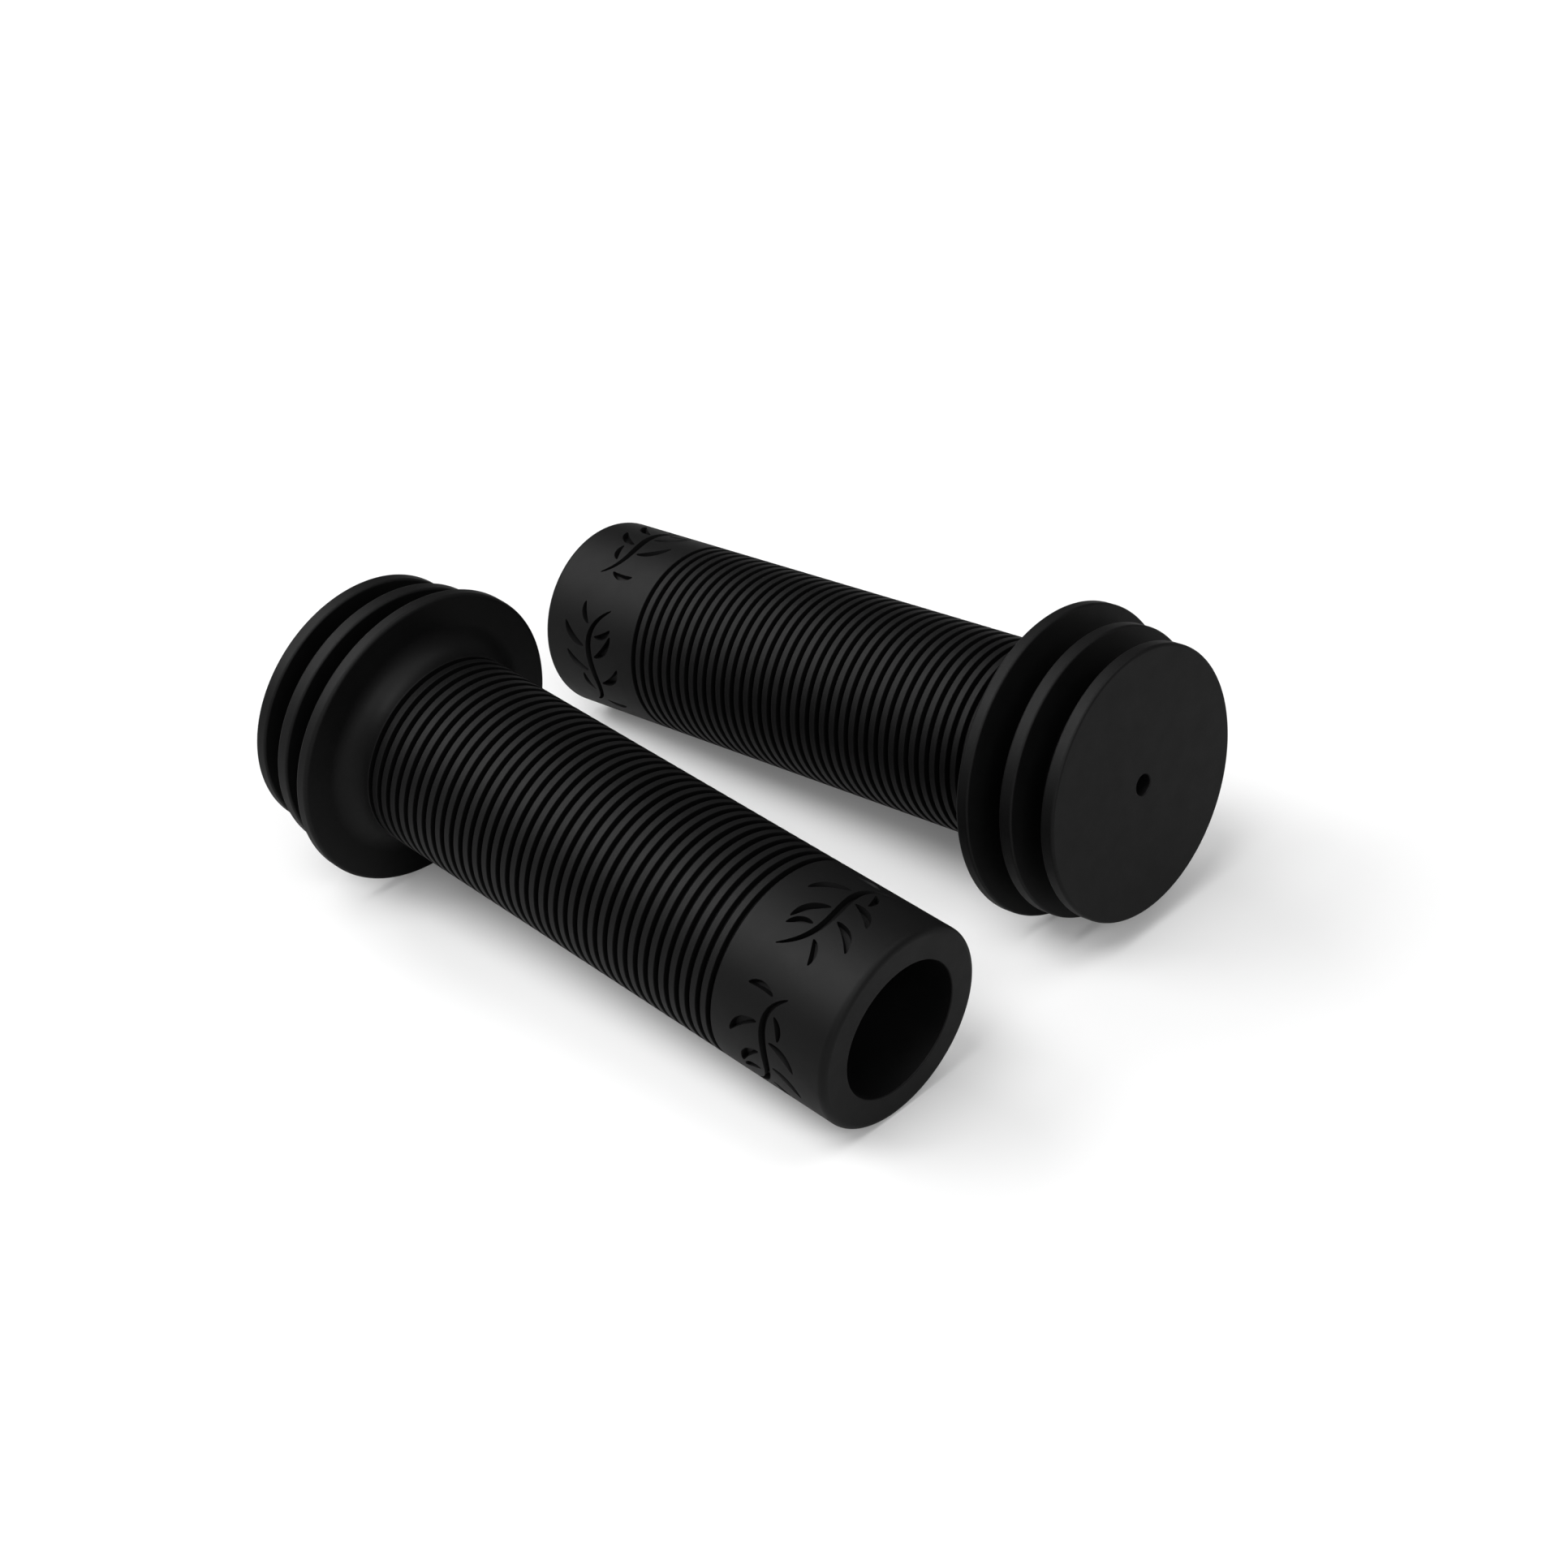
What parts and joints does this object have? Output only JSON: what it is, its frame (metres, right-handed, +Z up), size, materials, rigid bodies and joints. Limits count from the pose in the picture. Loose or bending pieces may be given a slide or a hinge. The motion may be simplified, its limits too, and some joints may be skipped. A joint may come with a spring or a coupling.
{
  "type": "pair of bicycle handlebar grips",
  "caption": "Pair of black rubber slip-on bicycle handlebar grips with fine ring grooves, a smooth engraved band at the open end and a finned, closed safety flange over the bar end.",
  "frame": {"origin": "on the surface that the grips lie on, under the middle of the pair's box", "axes": "+X runs along the right grip from its open end to its closed end, +Y from the left grip to the right grip, +Z up"},
  "size_m": [0.1198, 0.1066, 0.0496],
  "materials": {
    "rubber": "matt to satin moulded black rubber"
  },
  "bodies": {
    "left_grip": {"left_grip": "rubber"},
    "right_grip": {"right_grip": "rubber"}
  },
  "joints": [
    {"name": "right_grip_aside", "type": "slide", "parent": "left_grip", "child": "right_grip", "axis": [0, 1, 0], "range_m": [0, 0.08]}
  ]
}
